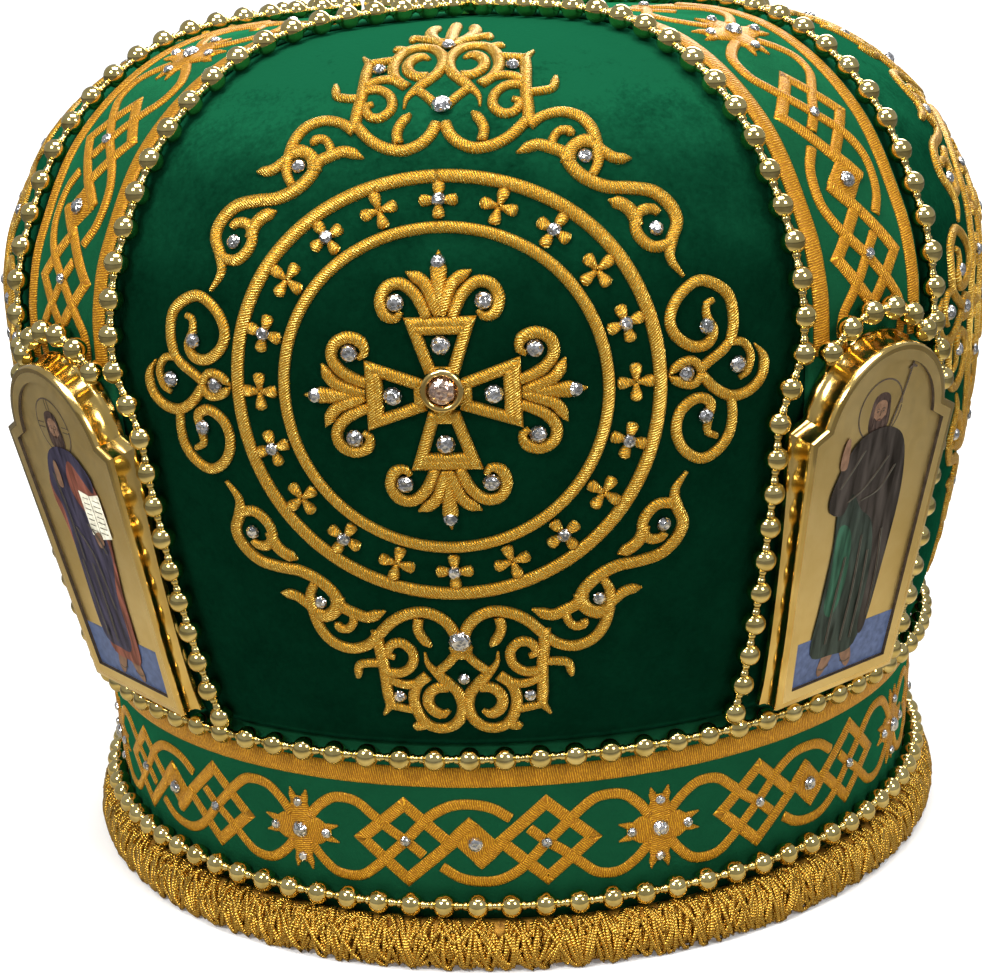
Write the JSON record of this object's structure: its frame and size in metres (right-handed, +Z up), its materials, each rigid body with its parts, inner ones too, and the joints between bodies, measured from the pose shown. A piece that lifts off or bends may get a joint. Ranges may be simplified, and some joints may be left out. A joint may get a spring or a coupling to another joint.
{
  "type": "bishop mitre",
  "caption": "Bulbous velvet crown mitre with embroidered panels, arched gilt plaques, ball-chain edging and a bullion foot trim, worn on the head.",
  "frame": {"origin": "on the floor under the crown's axis, in the plane of the circlet's rim", "axes": "+Z up along the crown's axis, -Y towards the front panel"},
  "size_m": [0.2398, 0.2398, 0.2002],
  "materials": {
    "velvet": "deep green cotton velvet, short pile",
    "band_velvet": "lighter green velvet, short pile",
    "ball_chain": "polished pale gilt",
    "gilt_frame": "polished gilt, slightly worn",
    "gilt_setting": "polished gilt",
    "icon_plate": "satin gilt with printed enamel",
    "gold_thread": "metallic embroidery thread",
    "satin_thread": "flat satin stitch",
    "bullion": "bright metallic bullion",
    "lining": "plain matt lining",
    "crystal": "clear foiled rhinestone",
    "rose_stone": "foiled faceted stone"
  },
  "bodies": {
    "root": {"crown_shell": "velvet", "circlet": "band_velvet", "bullion_trim": "bullion", "bead_row_lower": "ball_chain", "bead_row_upper": "ball_chain", "top_bead_ring": "ball_chain", "top_medallion": "gilt_frame", "band_front_right": "band_velvet", "plaque_frame_front_right": "gilt_frame", "plaque_face_front_right": "icon_plate", "arch_beads_front_right": "ball_chain", "bead_string_front_right_a": "ball_chain", "bead_string_front_right_b": "ball_chain", "band_back_right": "band_velvet", "plaque_frame_back_right": "gilt_frame", "plaque_face_back_right": "icon_plate", "arch_beads_back_right": "ball_chain", "bead_string_back_right_a": "ball_chain", "bead_string_back_right_b": "ball_chain", "band_back_left": "band_velvet", "plaque_frame_back_left": "gilt_frame", "plaque_face_back_left": "icon_plate", "arch_beads_back_left": "ball_chain", "bead_string_back_left_a": "ball_chain", "bead_string_back_left_b": "ball_chain", "band_front_left": "band_velvet", "plaque_frame_front_left": "gilt_frame", "plaque_face_front_left": "icon_plate", "arch_beads_front_left": "ball_chain", "bead_string_front_left_a": "ball_chain", "bead_string_front_left_b": "ball_chain", "cross_front": "gold_thread", "cross_setting_front": "gilt_setting", "cross_stone_front": "rose_stone", "cross_right": "gold_thread", "cross_setting_right": "gilt_setting", "cross_stone_right": "rose_stone", "cross_back": "gold_thread", "cross_setting_back": "gilt_setting", "cross_stone_back": "rose_stone", "cross_left": "gold_thread", "cross_setting_left": "gilt_setting", "cross_stone_left": "rose_stone"}
  },
  "joints": []
}
